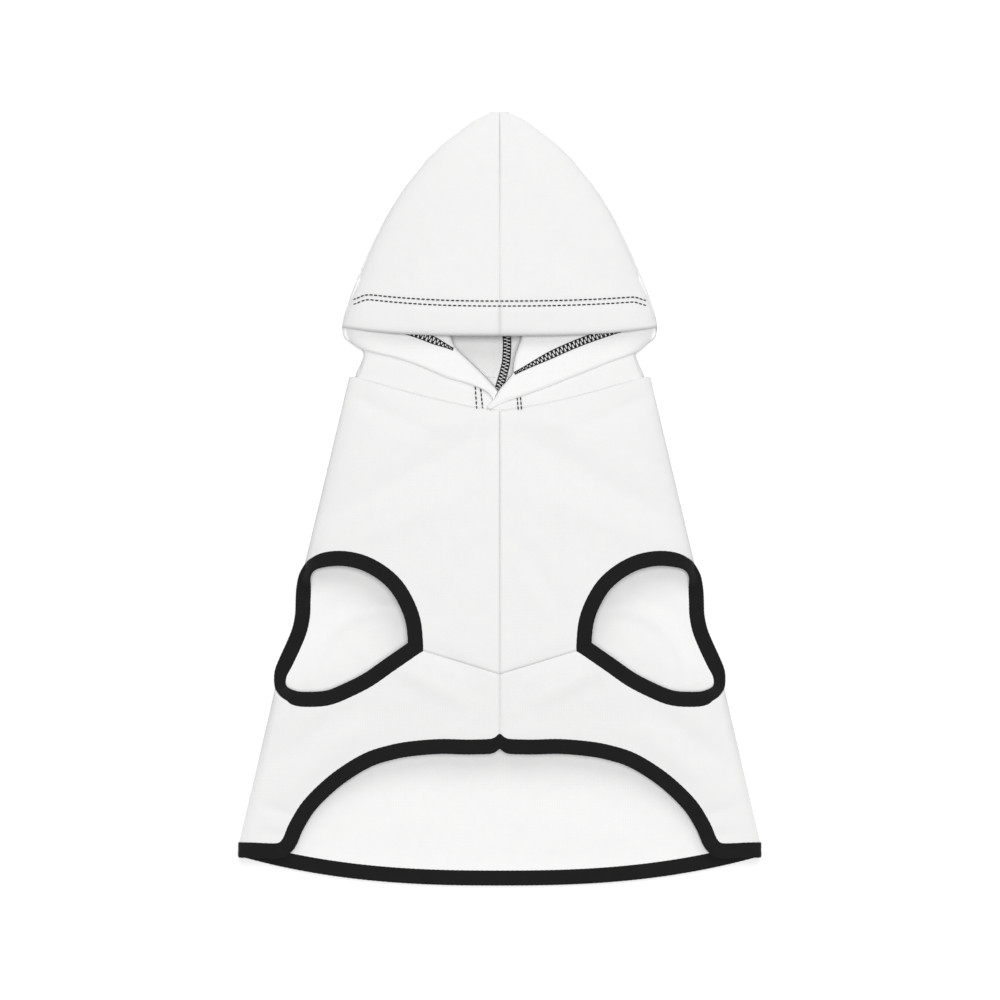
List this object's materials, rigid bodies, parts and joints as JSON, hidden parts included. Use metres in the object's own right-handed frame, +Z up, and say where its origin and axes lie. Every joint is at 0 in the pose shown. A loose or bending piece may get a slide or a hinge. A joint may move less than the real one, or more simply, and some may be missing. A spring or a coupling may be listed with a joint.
{
  "type": "dog hoodie",
  "caption": "Sleeveless hooded pullover for a dog, lying flat belly side up, with bound leg holes, an arched bound belly hem and a lapel-rolled hood opening",
  "frame": {"origin": "on the surface that the garment lies on, under the middle of its outline", "axes": "+X across the garment to the wearer's left as it lies belly side up, +Y from the hem to the tip of the hood, +Z up from the surface through the belly side"},
  "size_m": [0.34, 0.5027, 0.0302],
  "materials": {
    "white_cloth": "white brushed-back cotton jersey",
    "black_binding": "black cotton jersey binding with twin rows of stitching"
  },
  "bodies": {
    "root": {"back_panel": "white_cloth", "chest_left": "white_cloth", "chest_right": "white_cloth", "belly_left": "white_cloth", "belly_right": "white_cloth", "hood_left": "white_cloth", "hood_right": "white_cloth", "leg_binding_left": "black_binding", "leg_binding_right": "black_binding", "hem_binding": "black_binding"}
  },
  "joints": []
}
